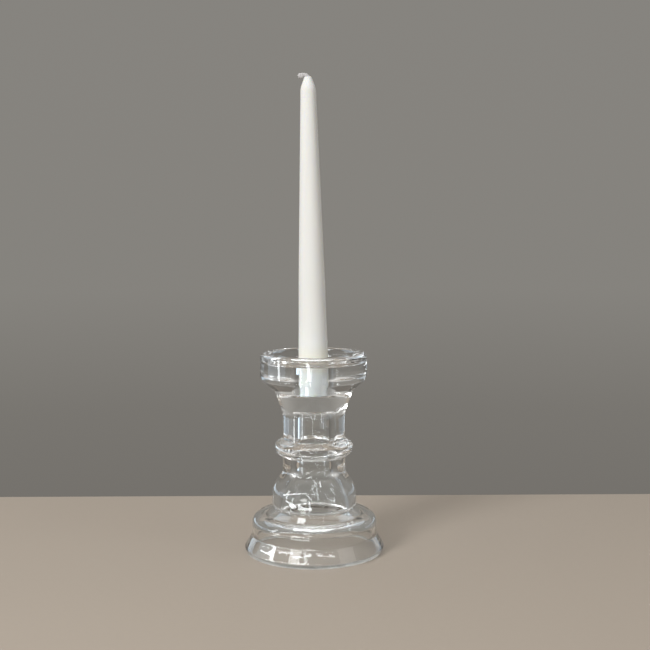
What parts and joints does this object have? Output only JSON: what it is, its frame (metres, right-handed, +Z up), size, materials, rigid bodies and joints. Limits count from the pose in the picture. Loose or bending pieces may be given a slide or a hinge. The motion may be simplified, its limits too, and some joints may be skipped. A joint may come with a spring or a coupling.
{
  "type": "glass candlestick",
  "caption": "Pressed clear glass candlestick with a dished cup, round knop, bulb stem and hollow bell foot, holding a white taper candle with a folded wick.",
  "frame": {"origin": "middle of the ring that the foot rests on, on the stick's axis", "axes": "+Z up along the stick and the candle; the candle leans 0.75 degrees towards -X, and its wick is folded over to the same side"},
  "size_m": [0.1052, 0.1052, 0.3562],
  "materials": {
    "clear_glass": "polished clear pressed glass",
    "white_wax": "satin paraffin wax, a little creamier near the foot",
    "cotton": "waxed braided cotton"
  },
  "bodies": {
    "holder": {"glass_holder": "clear_glass"},
    "candle": {"taper_candle": "white_wax", "wick": "cotton"}
  },
  "joints": [
    {"name": "candle_lift", "type": "slide", "parent": "holder", "child": "candle", "axis": [0, 0, 1], "range_m": [0, 0.035]}
  ]
}
